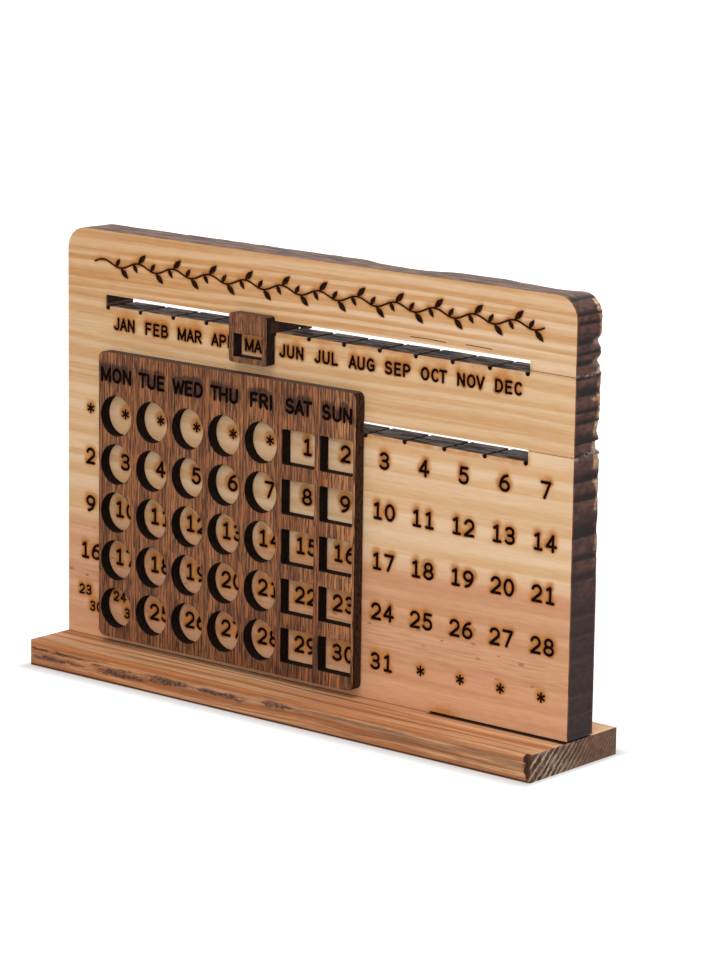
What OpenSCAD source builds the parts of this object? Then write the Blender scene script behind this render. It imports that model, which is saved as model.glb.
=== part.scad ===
// Sliding perpetual desk calendar. A pine panel, glued up from three staves, stands with its tenon in
// a plank base. A windowed date plate and a month pointer hang on hooks that pass through two
// notched slots in the panel, and slide along them.
// Millimetres, Z up, the front faces -Y. The origin is the middle of the base's underside.

/* [Panel] */
// Thickness of the panel
panel_t = 18; // [12:0.5:24]
// Wood at each end of the panel, from the middle of the outermost notch
panel_end = 25; // [20:0.5:45]
// Radius of the panel's two top corners
panel_corner = 10; // [2:0.5:14]
// Height of the heading band above the month slot
heading_h = 29.2; // [20:0.2:60]
// Rise of the upper glue line over the month slot's floor, at the panel's left end
upper_seam_left = 3.4; // [0.6:0.1:4]
// Rise of the upper glue line over the month slot's floor, at the panel's right end
upper_seam_right = 0.8; // [0.6:0.1:4]
// Rise of the lower glue line over the date slot's floor, at the panel's left end
lower_seam_left = 4.6; // [0.6:0.1:4.8]
// Rise of the lower glue line over the date slot's floor, at the panel's right end
lower_seam_right = 4.8; // [0.6:0.1:4.8]

/* [Calendar grid] */
// Distance between month places, which also sets the length of both slots
month_pitch = 20; // [18:0.5:26]
// Distance between the rows of dates
row_pitch = 22.4; // [20:0.2:30]
// Height of the last row of dates over the base
last_row_rise = 17.5; // [15:0.1:30]

/* [Slots] */
// Height of a slot between its floor and its roof
slot_h = 5.2; // [5:0.1:8]
// Height of the date slot's floor over the middle of the first row of dates
date_slot_rise = 10.6; // [10.4:0.1:16]
// Height of the month slot's floor over the date slot's floor
slot_spacing = 38.1; // [36:0.1:60]
// Width of a notch in a slot's floor
notch_w = 2.4; // [2.2:0.1:4]
// Depth of a notch below the slot's floor
notch_d = 1.7; // [0.8:0.1:3]

/* [Base] */
// Thickness of the base plank
base_t = 12; // [8:0.5:24]
// Depth of the base in front of the panel
base_front = 26.2; // [15:0.2:50]
// Depth of the base behind the panel
base_back = 18.7; // [10:0.1:50]
// Radius on the long edges of the base
base_edge = 1.2; // [0.4:0.1:3]
// Radius on the ends' upright corners
base_corner = 1.6; // [0.4:0.1:6]
// Length of the panel's tenon along the base
tenon_w = 142; // [80:1:200]
// Distance that the tenon stays short of the base's underside
tenon_short = 0.8; // [0.2:0.1:3]
// Gap left under the shoulder to the right of the tenon
shoulder_gap = 0.7; // [0.2:0.1:2]

/* [Date plate] */
// Thickness of the date plate
plate_t = 5.5; // [4:0.1:9]
// Diameter of a round window, and width of a square one
window_w = 18.8; // [12:0.1:19.4]
// Height of a square window
window_h = 15.8; // [10:0.1:18]
// Corner radius of a square window
window_r = 0.8; // [0.2:0.1:3]
// Wood between the outer windows and the plate's upright edges
plate_side = 1.3; // [0.8:0.1:12]
// Wood below the last row of windows
plate_foot = 4.7; // [1.5:0.1:5]
// Height of the plate's top over the middle of its first row of windows
plate_head = 29; // [22:0.1:30]
// Corner radius of the date plate
plate_corner = 3; // [0.5:0.1:6]

/* [Month pointer] */
// Height of the pointer
pointer_h = 22; // [18:0.1:24]
// Rise of the pointer's top over the month slot's roof
pointer_rise = 2.2; // [2:0.1:8]
// Width of the pointer's window
pointer_window_w = 16.6; // [8:0.1:17]
// Height of the pointer's window
pointer_window_h = 10.4; // [6:0.1:11]
// Wood below the pointer's window
pointer_sill = 2.6; // [1:0.1:3]
// Corner radius of the pointer
pointer_corner = 1.6; // [0.2:0.1:1.9]

/* [Hooks] */
// Thickness of a hook
hook_t = 2; // [1.5:0.1:2]
// Height of a hook's arm
hook_h = 4.2; // [3:0.1:4.4]
// Depth of the pocket that a hook is glued into
hook_pocket = 2.4; // [1.5:0.1:3.4]
// Length of a hook's tail behind the panel
tail_len = 5.6; // [3:0.1:12]
// Drop of the tail below the arm
tail_drop = 1.4; // [0.5:0.1:1.7]
// Chamfer on the tail's upper end
tail_chamfer = 1; // [0.2:0.1:2]

/* [Clearances] */
// Running gap between the panel's face and the back of the sliding pieces
face_gap = 0.8; // [0.3:0.1:0.9]
// Running gap between the slot's floor and a hook that rides over the notches
ride_gap = 0.3; // [0.2:0.05:0.5]
// Running gap between the panel's back and a hook's tail
tail_gap = 0.8; // [0.3:0.1:2]
// Gap round a glued tenon or pocket
glue_gap = 0.1; // [0.05:0.05:0.3]

/* [Hidden] */
$fn = 64;
// How far a cutter runs past the face that it opens
past = 1;

// Counts that make it a calendar: months, board columns, weekdays, rows of dates, round-window days,
// and the columns between the date plate's two hooks
months = 12;
columns = 13;
weekdays = 7;
rows = 5;
round_days = 5;
hook_columns = 5;
// Places of the two sliding pieces at rest, counted from the left
month_at_rest = 4;
plate_at_rest = 1;

// Both slots are one length, so the date columns share it out between their boundaries
slot_span = months * month_pitch;
date_notches = columns - 1;
month_notches = months + 1;
date_pitch = slot_span / (date_notches - 1);

// Heights are counted from the base's top until the whole panel is lifted on to it
first_row_rise = last_row_rise + (rows - 1) * row_pitch;
date_floor = first_row_rise + date_slot_rise;
month_floor = date_floor + slot_spacing;
panel_h = month_floor + slot_h + heading_h;
panel_w = slot_span + 2 * panel_end;
tenon_h = base_t - tenon_short;
// Heights of the two glue lines, at the panel's left and right end
lower_seam = [date_floor + lower_seam_left, date_floor + lower_seam_right];
upper_seam = [month_floor + upper_seam_left, month_floor + upper_seam_right];

// Depths, from the front of the base to its back
base_d = base_front + panel_t + base_back;
panel_front = base_front - base_d / 2;
panel_back = panel_front + panel_t;
slider_back = panel_front - face_gap;
tail_front = panel_back + tail_gap;

plate_w = (weekdays - 1) * date_pitch + window_w + 2 * plate_side;
plate_low = last_row_rise - window_w / 2 - plate_foot;
plate_top = first_row_rise + plate_head;
plate_x = (plate_at_rest + (weekdays - 1) / 2 - (columns - 1) / 2) * date_pitch;
// The plate's hooks stand on the outer boundaries between its columns
plate_hook_x = hook_columns / 2 * date_pitch;

pointer_w = month_pitch + hook_t;
pointer_top = month_floor + slot_h + pointer_rise;
pointer_low = pointer_top - pointer_h;
pointer_x = (month_at_rest - (months - 1) / 2) * month_pitch;
// The pointer's hooks stand on the two boundaries of its month
pointer_hook_x = month_pitch / 2;

pine = "burlywood";
pine_dark = "tan";
walnut = "saddlebrown";
char_brown = "sienna";

// Rectangle with round corners, centred on X and standing on Y = 0
module round_rect(w, h, r) {
  translate([-w / 2, r])
    square([w, h - 2 * r]);
  translate([r - w / 2, 0])
    square([w - 2 * r, h]);
  for (x = [r - w / 2, w / 2 - r], y = [r, h - r])
    translate([x, y])
      circle(r = r);
}

// Raises a drawing of the front, in X and height over the base, to a slab with its back at y
module slab(y, t) {
  translate([0, y, base_t])
    rotate([90, 0, 0])
      linear_extrude(height = t)
        children();
}

// One notched slot: its open run, and the notches in its floor
module slot_shape(floor_rise, count, pitch) {
  translate([-(slot_span + notch_w) / 2, floor_rise])
    square([slot_span + notch_w, slot_h]);
  for (i = [0 : count - 1])
    translate([i * pitch - slot_span / 2 - notch_w / 2, floor_rise - notch_d])
      square([notch_w, notch_d + past]);
}

// Front view of the whole panel above the base, with its rounded top corners
module panel_shape() {
  translate([-panel_w / 2, 0])
    square([panel_w, panel_h - panel_corner]);
  translate([panel_corner - panel_w / 2, panel_h - 2 * panel_corner])
    square([panel_w - 2 * panel_corner, 2 * panel_corner]);
  for (side = [-1, 1])
    translate([side * (panel_w / 2 - panel_corner), panel_h - panel_corner])
      circle(r = panel_corner);
}

// Band of the panel between two sloping glue lines, each given as its heights at the two ends
module band_shape(low, high) {
  polygon([[-panel_w / 2, low[0]], [panel_w / 2, low[1]], [panel_w / 2, high[1]], [-panel_w / 2, high[0]]]);
}

// Cuts both slots through a stave
module slotted() {
  difference() {
    slab(panel_back, panel_t)
      children();
    slab(panel_back + past, panel_t + 2 * past) {
      slot_shape(date_floor, date_notches, date_pitch);
      slot_shape(month_floor, month_notches, month_pitch);
    }
  }
}

// Pine plank with softened edges, mortised through for the panel's tenon
module base_plank() {
  color(pine_dark)
    difference() {
      intersection() {
        translate([-panel_w / 2, 0, 0])
          rotate([90, 0, 90])
            linear_extrude(height = panel_w)
              round_rect(base_d, base_t, base_edge);
        translate([0, -base_d / 2, 0])
          linear_extrude(height = base_t)
            round_rect(panel_w, base_d, base_corner);
      }
      translate([-tenon_w / 2 - glue_gap, panel_front - glue_gap, -past])
        cube([tenon_w + 2 * glue_gap, panel_t + 2 * glue_gap, base_t + 2 * past]);
    }
}

// Widest stave, with the tenon below it and the date slot's notches in its top edge. It stands on its
// left shoulder and clears the base by a small gap at the right one
module lower_stave() {
  color(pine)
    slotted() {
      difference() {
        band_shape([0, 0], lower_seam);
        translate([tenon_w / 2, -past])
          square([panel_w / 2, past + shoulder_gap]);
      }
      translate([-tenon_w / 2, -tenon_h])
        square([tenon_w, tenon_h + past]);
    }
}

// Narrow stave between the two slots
module middle_stave() {
  color(pine)
    slotted()
      band_shape(lower_seam, upper_seam);
}

// Top stave with the heading band and the rounded corners
module upper_stave() {
  color(pine)
    slotted()
      intersection() {
        panel_shape();
        band_shape(upper_seam, [panel_h, panel_h]);
      }
}

// Side view of a hook that rides over a slot's floor: root, arm, and a tail that hangs behind the panel
module hook(x, floor_rise) {
  arm_low = floor_rise + ride_gap;
  arm_top = arm_low + hook_h;
  root = slider_back - hook_pocket;
  tail_end = tail_front + tail_len;
  color(char_brown)
    translate([x - hook_t / 2, 0, base_t])
      rotate([90, 0, 90])
        linear_extrude(height = hook_t)
          polygon([[root, arm_low], [tail_front, arm_low], [tail_front, arm_low - tail_drop],
                   [tail_end, arm_low - tail_drop], [tail_end, arm_top - tail_chamfer],
                   [tail_end - tail_chamfer, arm_top], [root, arm_top]]);
}

// Blind pocket in the back of a sliding piece, for the root of one hook
module hook_seat(x, floor_rise) {
  w = hook_t + 2 * glue_gap;
  translate([x - w / 2, slider_back - hook_pocket, base_t + floor_rise + ride_gap - glue_gap])
    cube([w, hook_pocket + past, hook_h + 2 * glue_gap]);
}

// Windows of the date plate, in its own middle line: round for the first days, square for the last two
module plate_windows() {
  for (day = [0 : weekdays - 1], row = [0 : rows - 1])
    translate([(day - (weekdays - 1) / 2) * date_pitch, first_row_rise - row * row_pitch])
      if (day < round_days)
        circle(d = window_w);
      else
        translate([0, -window_h / 2])
          round_rect(window_w, window_h, window_r);
}

// Thin walnut plate that frames the days of one month under the weekdays
module date_plate() {
  color(walnut)
    difference() {
      slab(slider_back, plate_t)
        translate([plate_x, 0])
          difference() {
            translate([0, plate_low])
              round_rect(plate_w, plate_top - plate_low, plate_corner);
            plate_windows();
          }
      for (side = [-1, 1])
        hook_seat(plate_x + side * plate_hook_x, date_floor);
    }
}

module date_hook_left() hook(plate_x - plate_hook_x, date_floor);

module date_hook_right() hook(plate_x + plate_hook_x, date_floor);

// Small walnut frame that shows one month, with a hook flush in each of its sides
module month_pointer() {
  color(walnut)
    difference() {
      slab(slider_back, plate_t)
        translate([pointer_x, pointer_low])
          difference() {
            round_rect(pointer_w, pointer_h, pointer_corner);
            translate([-pointer_window_w / 2, pointer_sill])
              square([pointer_window_w, pointer_window_h]);
          }
      for (side = [-1, 1])
        hook_seat(pointer_x + side * pointer_hook_x, month_floor);
    }
}

module month_hook_left() hook(pointer_x - pointer_hook_x, month_floor);

module month_hook_right() hook(pointer_x + pointer_hook_x, month_floor);

base_plank();
lower_stave();
middle_stave();
upper_stave();
date_plate();
date_hook_left();
date_hook_right();
month_pointer();
month_hook_left();
month_hook_right();
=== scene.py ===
import math
from functools import reduce

import bpy
import numpy as np
from mathutils import Matrix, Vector
from mathutils.geometry import delaunay_2d_cdt


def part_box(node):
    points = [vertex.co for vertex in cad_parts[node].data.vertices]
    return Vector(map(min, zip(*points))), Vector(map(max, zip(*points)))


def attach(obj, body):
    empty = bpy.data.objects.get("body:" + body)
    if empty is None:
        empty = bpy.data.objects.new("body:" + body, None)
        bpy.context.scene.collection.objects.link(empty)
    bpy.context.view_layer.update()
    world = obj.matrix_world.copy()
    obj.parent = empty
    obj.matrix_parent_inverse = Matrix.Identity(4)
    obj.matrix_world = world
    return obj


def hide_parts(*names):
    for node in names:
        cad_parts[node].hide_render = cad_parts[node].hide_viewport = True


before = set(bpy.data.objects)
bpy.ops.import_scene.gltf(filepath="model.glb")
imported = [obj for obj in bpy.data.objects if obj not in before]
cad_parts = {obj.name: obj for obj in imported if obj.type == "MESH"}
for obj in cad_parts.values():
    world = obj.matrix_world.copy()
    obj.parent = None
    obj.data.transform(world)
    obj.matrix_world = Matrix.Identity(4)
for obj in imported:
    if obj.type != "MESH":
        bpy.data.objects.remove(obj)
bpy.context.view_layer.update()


# Base plank.
# A pine plank, planed along the grain and sawn square at its ends, where the growth rings show. It lies
# flat on the desk, and a mortise through its middle holds the panel's tenon.

MM = 0.001


class Field:
    """A number or colour that varies over a surface: a shader node's output, with arithmetic on it."""

    def __init__(self, finish, socket):
        self.finish = finish
        self.socket = socket

    def math(self, operation, *others):
        return self.finish.node("Math", dict(enumerate((self, *others))), operation=operation)

    def __add__(self, other):
        return self.math("ADD", other)

    def __sub__(self, other):
        return self.math("SUBTRACT", other)

    def __mul__(self, other):
        return self.math("MULTIPLY", other)

    def __truediv__(self, other):
        return self.math("DIVIDE", other)

    def rise(self, low, high):
        """0 below low, 1 above high, with an eased climb between. It falls where low is above high."""
        return self.finish.node("MapRange", {0: self, 1: low, 2: high}, interpolation_type="SMOOTHSTEP")

    def mix(self, share, other):
        """From this colour to the other as share goes from 0 to 1."""
        return self.finish.mix(share, self, other)

    def tint(self, share, glaze):
        """This colour seen through a coloured glaze, which multiplies it."""
        return self.finish.node("Mix", {0: share, 6: self, 7: glaze}, output=2, data_type="RGBA",
                                blend_type="MULTIPLY")


class Finish:
    """A material built node by node. Its places are Object coordinates in millimetres."""

    def __init__(self, name, gloss=0.12):
        self.material = bpy.data.materials.new(name)
        self.material.use_nodes = True
        self.tree = self.material.node_tree
        self.shader = self.tree.nodes["Principled BSDF"]
        self.shader.inputs["Specular IOR Level"].default_value = gloss
        spot = self.tree.nodes.new("ShaderNodeTexCoord")
        self.place = self.node("VectorMath", {0: Field(self, spot.outputs["Object"]), 1: (1 / MM,) * 3},
                               operation="MULTIPLY")
        self.x, self.y, self.z = self.parts(self.place)
        self.facing = self.parts(Field(self, spot.outputs["Normal"]))

    def put(self, socket, value):
        """Link a field to a socket, or set the socket to a plain number or colour."""
        if isinstance(value, Field):
            self.tree.links.new(value.socket, socket)
        elif socket.type == "RGBA":
            socket.default_value = (*value, 1)
        else:
            socket.default_value = value

    def node(self, kind, inputs, output=0, **settings):
        made = self.tree.nodes.new("ShaderNode" + kind)
        for name, value in settings.items():
            setattr(made, name, value)
        for key, value in inputs.items():
            self.put(made.inputs[key], value)
        return Field(self, made.outputs[output])

    def parts(self, vector):
        """The three components of a vector."""
        split = self.node("SeparateXYZ", {0: vector}).socket.node
        return [Field(self, socket) for socket in split.outputs]

    def cloud(self, size, start=0, detail=2):
        """Soft noise from 0 to 1 whose blotches are size millimetres along X, Y and Z."""
        stretched = self.node("VectorMath", {0: self.place, 1: size}, operation="DIVIDE")
        moved = self.node("VectorMath", {0: stretched, 1: (start, start, start)}, operation="ADD")
        return self.node("TexNoise", {"Vector": moved, "Scale": 1, "Detail": detail})

    def bands(self, across, length, width, start=0, detail=2):
        """Noise in streaks that are length millimetres long along X and width millimetres across."""
        spot = self.node("CombineXYZ", {0: self.x / length, 1: across / width + start, 2: start})
        return self.node("TexNoise", {"Vector": spot, "Scale": 1, "Detail": detail})

    def mix(self, share, first, second):
        """From the first colour to the second as share goes from 0 to 1."""
        return self.node("Mix", {0: share, 6: first, 7: second}, output=2, data_type="RGBA")

    def dots(self, length, height, radius, share):
        """Spots on an upright face, 1 inside and 0 outside. Of cells of the given length and height in
        millimetres a share holds one, and the radius of the largest counts in cells."""
        spot = self.node("CombineXYZ", {0: self.x / length, 1: self.z / height})
        apart = self.node("TexVoronoi", {"Vector": spot, "Scale": 1}, voronoi_dimensions="2D")
        chance, size, _ = self.parts(Field(self, apart.socket.node.outputs["Color"]))
        reach = apart / (size * 0.8 + 0.2)
        return reach.rise(radius, radius * 0.3) * chance.rise(share + 0.01, share - 0.01)

    def attribute(self, name):
        """A value that the mesh carries on its points."""
        return self.node("Attribute", {}, output=2, attribute_name=name)

    def dress(self, colour, roughness, relief, depth):
        """Colour and roughness of the surface, and a relief of the given depth in millimetres."""
        self.put(self.shader.inputs["Base Color"], colour)
        self.put(self.shader.inputs["Roughness"], roughness)
        bump = self.node("Bump", {"Height": relief, "Distance": depth * MM, "Strength": 1})
        self.put(self.shader.inputs["Normal"], bump)
        return self.material


def box_mm(node):
    """Low and high corner of a CAD piece in millimetres."""
    return np.array([tuple(corner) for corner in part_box(node)]) / MM


def finish_node(node, material):
    """Give a piece that keeps its CAD mesh one material all over."""
    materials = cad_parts[node].data.materials
    materials.clear()
    materials.append(material)


def plank_pine():
    """Growth rings as cylinders about the tree's heart, which lies along X above the plank's front.

    On the end a ring's share of early and late wood is the fraction left over when the distance from the
    heart is counted in rings. Along the plank the same distance is cut into streaks of uneven width. The
    top turns paler towards the back, a painted light from behind the panel; the front is smeared, and resin
    has darkened one corner. Painted light also tints the front darker than the top, and painted shade
    darkens the top under the panel's raised shoulder, the crease along the panel's foot and the front's
    bottom edge.
    """
    finish = Finish("plank_pine", 0.04)
    x, y, z, cloud = finish.x, finish.y, finish.z, finish.cloud
    heart_y, heart_z, first_ring = -96, 104, 112
    right_end, front_face = 145, -31.5
    panel_near, panel_far, tenon_end = -6, 12, 71
    smears = [(-138, 8.6, 3, 0.6), (-124, 8.6, 6, 0.7), (-112, 8.2, 7, 0.6), (-128, 5.2, 13, 1.3),
              (-89, 6.0, 14, 1.8), (-60, 7.4, 13, 1.6), (-28, 7.4, 14, 1.3), (5, 8.0, 10, 1.5)]
    sway = cloud((150, 24, 24)) * 5 + cloud((34, 6, 6), 5, 3) * 1.2
    out_y = y - heart_y
    out_z = z - heart_z
    distance = (out_y * out_y + out_z * out_z).math("SQRT") - first_ring + sway
    end = finish.facing[0].math("ABSOLUTE").rise(0.5, 0.9)
    front = finish.facing[1].rise(-0.5, -0.9)
    top = finish.facing[2].rise(0.5, 0.9)
    fibre = cloud((30, 0.7, 0.7), 11, 4)
    late = finish.bands(distance, 240, 2.6, 3, 3).rise(0.42, 0.58)
    along = finish.mix(late, (0.69, 0.42, 0.24), (0.49, 0.21, 0.085))
    dark = finish.bands(distance, 170, 1.6, 17)
    along = along.mix(dark.rise(0.54, 0.66) * 0.65, (0.25, 0.092, 0.042))
    pale = finish.bands(distance, 200, 2.0, 37)
    along = along.mix(pale.rise(0.56, 0.7) * 0.65, (0.79, 0.54, 0.34))
    thread = finish.bands(distance, 110, 0.75, 77, 3)
    along = along.mix(thread.rise(0.52, 0.65) * 0.5, (0.24, 0.09, 0.04))
    # Painted light: the front is tinted darker than the top (below), as light falls mostly from above.
    along = along.tint(front, (0.87, 0.76, 0.70))
    along = along.tint(front * x.rise(-10, -100), (1.0, 0.88, 0.78))
    along = along.tint(top, (1.0, 0.94, 0.90))
    # Painted light: the top turns paler towards the back, as if lit from behind the panel.
    backlit_top = y.rise(6, 14) * top
    along = along.mix(backlit_top * 0.9, finish.mix(late, (0.86, 0.60, 0.38), (0.79, 0.52, 0.30)))
    ragged = distance + cloud((9, 2.2, 2.2), 6, 4) * 1.6 - 0.8
    ring = (ragged * 0.195 + ragged * ragged * 0.0041).math("FRACT")
    firm = cloud((9, 6, 5), 66).rise(0.3, 0.6) * 0.4 + 0.6
    thick = ring.rise(0.1, 0.4) * ring.rise(1.0, 0.88) * firm
    behind = y.rise(-20, 14)
    light_ring = finish.mix(behind, (0.66, 0.50, 0.385), (0.28, 0.18, 0.124))
    dark_ring = finish.mix(behind, (0.06, 0.028, 0.022), (0.155, 0.085, 0.058))
    across = finish.mix(thick, light_ring, dark_ring)
    across = across.mix(fibre.rise(0.4, 0.7) * 0.3, (0.13, 0.08, 0.055))
    blotch = cloud((8, 7, 5), 65, 4)
    across = across.tint(blotch.rise(0.42, 0.6) * 0.8, (0.62, 0.58, 0.58))
    wood = finish.mix(end, along, across)
    upper_edge = z.rise(9.6, 10.6) * front
    wood = wood.mix(upper_edge * 0.4, (0.42, 0.165, 0.06))
    wood = wood.mix(fibre.rise(0.4, 0.7) * (backlit_top * -0.22 + 0.35), (0.26, 0.11, 0.045))
    ticks = cloud((1.5, 3, 1.1), 31, 4)
    streaky = cloud((16, 3, 1.1), 35, 3)
    drift_x = x + cloud((7, 3, 1.2), 27, 4) * 36 - 18
    drift_z = z + cloud((9, 3, 4), 25, 3) * 3 - 1.5
    spots = []
    for middle_x, middle_z, half_x, half_z in smears:
        away_x = (drift_x - middle_x) / half_x
        away_z = (drift_z - middle_z) / half_z
        spots.append((away_x * away_x + away_z * away_z).rise(2.2, 0.0))
    rubbed = reduce(lambda first, second: first.math("MAXIMUM", second), spots) * front
    wood = wood.mix((streaky + rubbed * 0.2).rise(0.48, 0.75) * front * 0.45, (0.22, 0.10, 0.06))
    wood = wood.mix(rubbed.rise(0, 0.9) * (streaky * 0.6 + 0.1), (0.17, 0.09, 0.06))
    smudge = cloud((30, 3, 1.3), 21, 5).rise(0.44, 0.6)
    smudge = smudge * z.rise(3.5, 6) * z.rise(10.5, 9) * x.rise(10, 45)
    wood = wood.mix(smudge * front * 0.5, (0.17, 0.10, 0.06))
    smear = (ticks + rubbed * 0.26).rise(0.42, 0.9) * (streaky + rubbed * 0.3).rise(0.42, 0.8)
    wood = wood.mix(smear * rubbed.rise(0, 0.8) * 0.95, (0.065, 0.036, 0.03))
    grime = cloud((9, 3, 0.8), 61, 4).rise(0.5, 0.68) * front
    wood = wood.mix(grime * 0.4, (0.20, 0.085, 0.05))
    # Painted shade: a dark line along the front's bottom edge, where it meets the desk.
    painted_bottom_shade = z.rise(1.5, 0.9) * front
    wood = wood.mix(painted_bottom_shade * 0.92, (0.035, 0.017, 0.011))
    uneven_x = x + cloud((2.5, 3, 2.5), 71) * 4 + z * 0.12
    uneven_y = y - cloud((3, 2.5, 2.5), 75) * 4 - z * 0.1
    resin = uneven_x.rise(right_end + 0.1, right_end + 1.1) * z.rise(0.8, 1.6)
    resin = resin * uneven_y.rise(front_face - 0.3, front_face - 1.3)
    wood = wood.mix(resin * 0.97, finish.mix(end, (0.035, 0.014, 0.011), (0.075, 0.030, 0.022)))
    under_panel = y.rise(panel_far + 1, panel_far) * top
    # Painted shadow: the top is blackened under the panel's raised shoulder, whose gap lies in shade.
    sooty = y.rise(panel_near - 2.4, panel_near - 0.6) * x.rise(tenon_end - 1, tenon_end + 1)
    wood = wood.mix(sooty * under_panel * 0.97, (0.012, 0.007, 0.005))
    # Painted shade: a dark line along the crease at the panel's foot.
    crease_shade = y.rise(panel_near - 0.3, panel_near + 0.4) * x.rise(tenon_end + 1, tenon_end - 1)
    wood = wood.mix(crease_shade * under_panel * 0.8, (0.06, 0.03, 0.018))
    return finish.dress(wood, fibre * 0.2 + 0.5, fibre - late * 0.5, 0.12)


finish_node("base_plank", plank_pine())


# Panel staves.
# Three pine boards glued edge to edge and cut out together by laser, which chars every edge and breaks
# wood out at the back. The calendar is burned into the front. The lowest board carries the tenon.

panel_low, panel_high = box_mm("lower_stave")
base_top = box_mm("base_plank")[1, 2]
panel_front, panel_back = panel_low[1], panel_high[1]
panel_t = panel_back - panel_front
half_w = panel_high[0]
panel_top = box_mm("upper_stave")[1, 2]
corner_r = 10
tenon_half, tenon_low = 71, panel_low[2]
shoulder_gap = 0.7
slot_half, slot_h = 121.2, 5.2
notch_w, notch_d = 2.4, 1.7
date_floor = base_top + 117.7
month_floor = base_top + 155.8
lower_seam = np.array([date_floor + 4.6, date_floor + 4.8])
upper_seam = np.array([month_floor + 3.4, month_floor + 0.8])
columns, months = 13, 12
slot_span = 2 * slot_half - notch_w
date_pitch = slot_span / (columns - 2)
month_pitch = slot_span / months
edge_step = 0.8
engraving_d, front_depth = 0.5, 0.01
crease = math.radians(35)
stain_half = np.array([8, 3.2])
# Wood lost from the right end at the back: height above the desk and depth, and the height of a torn wedge
break_outs = [(181.8, 1.7), (173.6, 1.8)]
wedge_z = 158


def centred(count, pitch):
    """Places of a number of things in a row about its middle, one pitch apart."""
    return (np.arange(count) - (count - 1) / 2) * pitch


def along_arc(centre, radius, first, last):
    """Points on an ellipse about its centre, from the first angle to the last, in degrees."""
    step, fewest = 15, 4
    count = max(fewest, int(abs(last - first) / step) + 1)
    turn = np.radians(np.linspace(first, last, count))
    return np.asarray(centre) + np.asarray(radius) * np.stack([np.cos(turn), np.sin(turn)], axis=1)


def resample(corners, step):
    """Even points along the straight sides of a closed outline, no further apart than step.

    Every corner stays. Also gives the number of the side that each point lies on.
    """
    sides = np.roll(corners, -1, axis=0) - corners
    counts = np.maximum(1, np.ceil(np.linalg.norm(sides, axis=1) / step)).astype(int)
    side = np.repeat(np.arange(len(corners)), counts)
    place = np.arange(len(side)) - np.repeat(np.cumsum(counts) - counts, counts)
    return corners[side] + (place / counts[side])[:, None] * sides[side], side


def uneven(place, spacing, seed):
    """Smooth random heights from 0 to 1 along a line: seeded values, eased from one to the next."""
    count = 600
    knots = np.random.default_rng(seed).random(count)
    steps = place / spacing + count / 2
    low = np.floor(steps).astype(int)
    share = steps - low
    share = share * share * (3 - 2 * share)
    return knots[low] * (1 - share) + knots[low + 1] * share


def eased(value, low, high):
    """0 below low, 1 above high, with an eased climb between."""
    share = np.clip((value - low) / (high - low), 0, 1)
    return share * share * (3 - 2 * share)


def ring_count(x, z, grain, sine):
    """Depth down the panel counted in growth rings, which sway along X and differ in width."""
    swayed = z + sine(x / grain["wave"] + grain["start"]) * grain["sway"] + x * grain["slope"]
    even = swayed / grain["width"]
    return (even + sine(even * 2.3 + grain["start"]) * 0.22) * -1


def late_share(count):
    """Share of dark late wood: it builds up through a ring and ends sharply."""
    ring = count - np.floor(count)
    return eased(ring, 0.55, 0.85) * (1 - eased(ring, 0.93, 1.0))


def slot_floor(floor, count, pitch):
    """Corners of a slot's notched floor, from its right end to its left, each with its kind of edge."""
    corners = []
    for middle in centred(count, pitch)[::-1]:
        bottom = along_arc((middle, floor - notch_d + notch_w / 2), notch_w / 2, 0, -180)
        corners += [(middle + notch_w / 2, floor, "notch"), *[(*point, "notch") for point in bottom],
                    (middle - notch_w / 2, floor, "slot")]
    return corners


def seam_at(seam, x):
    """Height of a glue line, which runs straight from one end of the panel to the other."""
    return np.interp(x, [-half_w, half_w], seam)


def slot_roof(roof, seam):
    """Corners along the underside of a stave: the glue line, the slot's roof and the glue line again."""
    return [(-half_w, seam[0], "seam"), (-slot_half, seam_at(seam, -slot_half), "notch"),
            (-slot_half, roof, "slot"), (slot_half, roof, "notch"),
            (slot_half, seam_at(seam, slot_half), "seam"), (half_w, seam[1], "end")]


def stave_top(floor, seam, count, pitch):
    """Corners along the top of a stave, from right to left: glue line, slot floor, glue line."""
    return [(half_w, seam[1], "seam"), (slot_half, seam_at(seam, slot_half), "notch"),
            *slot_floor(floor, count, pitch)[1:-1], (-slot_half, seam_at(seam, -slot_half), "seam"),
            (-half_w, seam[0], "end")]


lower_outline = [(-half_w, base_top, "cut"), (-tenon_half, base_top, "cut"), (-tenon_half, tenon_low, "cut"),
                 (tenon_half, tenon_low, "cut"), (tenon_half, base_top + shoulder_gap, "cut"),
                 (half_w, base_top + shoulder_gap, "end"),
                 *stave_top(date_floor, lower_seam, columns - 1, date_pitch)]
middle_outline = [*slot_roof(date_floor + slot_h, lower_seam),
                  *stave_top(month_floor, upper_seam, months + 1, month_pitch)]
corner_x, corner_z = half_w - corner_r, panel_top - corner_r
upper_outline = [*slot_roof(month_floor + slot_h, upper_seam),
                 *[(*point, "top") for point in along_arc((corner_x, corner_z), corner_r, 0, 90)],
                 *[(*point, "top") for point in along_arc((-corner_x, corner_z), corner_r, 90, 180)[:-1]],
                 (-half_w, corner_z, "end")]


def oval(x, y, half_x, half_y):
    """Closed oval of a glyph, in two arcs."""
    return [(x, y, half_x, half_y, 0, 180), (x, y, half_x, half_y, 180, 360)]


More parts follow.
